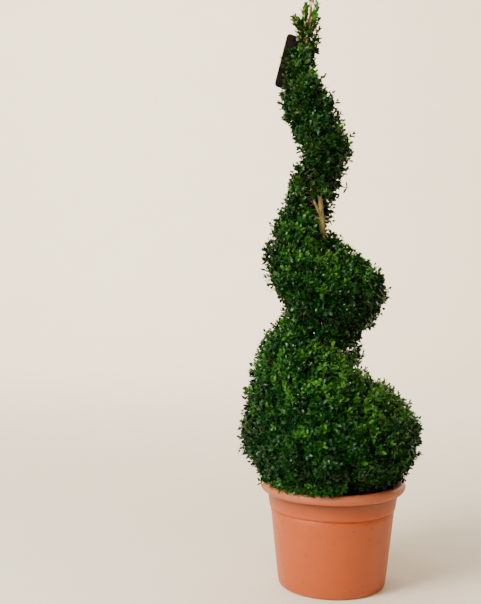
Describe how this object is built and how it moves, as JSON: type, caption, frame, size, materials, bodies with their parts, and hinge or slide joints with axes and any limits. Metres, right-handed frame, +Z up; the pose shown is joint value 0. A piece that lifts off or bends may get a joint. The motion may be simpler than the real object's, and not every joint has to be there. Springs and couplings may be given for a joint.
{
  "type": "potted spiral topiary",
  "caption": "Evergreen shrub clipped to a rising left-handed spiral over a round base, in a round tapered pot with a rolled rim.",
  "frame": {"origin": "centre of the pot's flat underside", "axes": "+Z up along the trunk, -Y towards the front, +X to the right seen from the front"},
  "size_m": [0.503, 0.4969, 1.588],
  "materials": {
    "pot_plastic": "satin terracotta-coloured moulded plastic",
    "bark_compost": "dark crumbly compost with bark",
    "bark": "thin tan bark, finely furrowed",
    "foliage": "small glossy dark green leaves on green twigs",
    "label_card": "plain dark satin plastic card"
  },
  "bodies": {
    "root": {"pot": "pot_plastic", "compost": "bark_compost", "trunk": "bark", "foot_bough": "bark", "fork_bough": "bark", "low_fork_bough": "bark", "label": "label_card", "base_foliage_back": "foliage", "base_foliage_right": "foliage", "base_foliage_front": "foliage", "base_foliage_left": "foliage", "first_turn_foliage_back": "foliage", "first_turn_foliage_front": "foliage", "second_turn_foliage_back": "foliage", "second_turn_foliage_front": "foliage", "third_turn_foliage_back": "foliage", "spire_foliage": "foliage"}
  },
  "joints": []
}
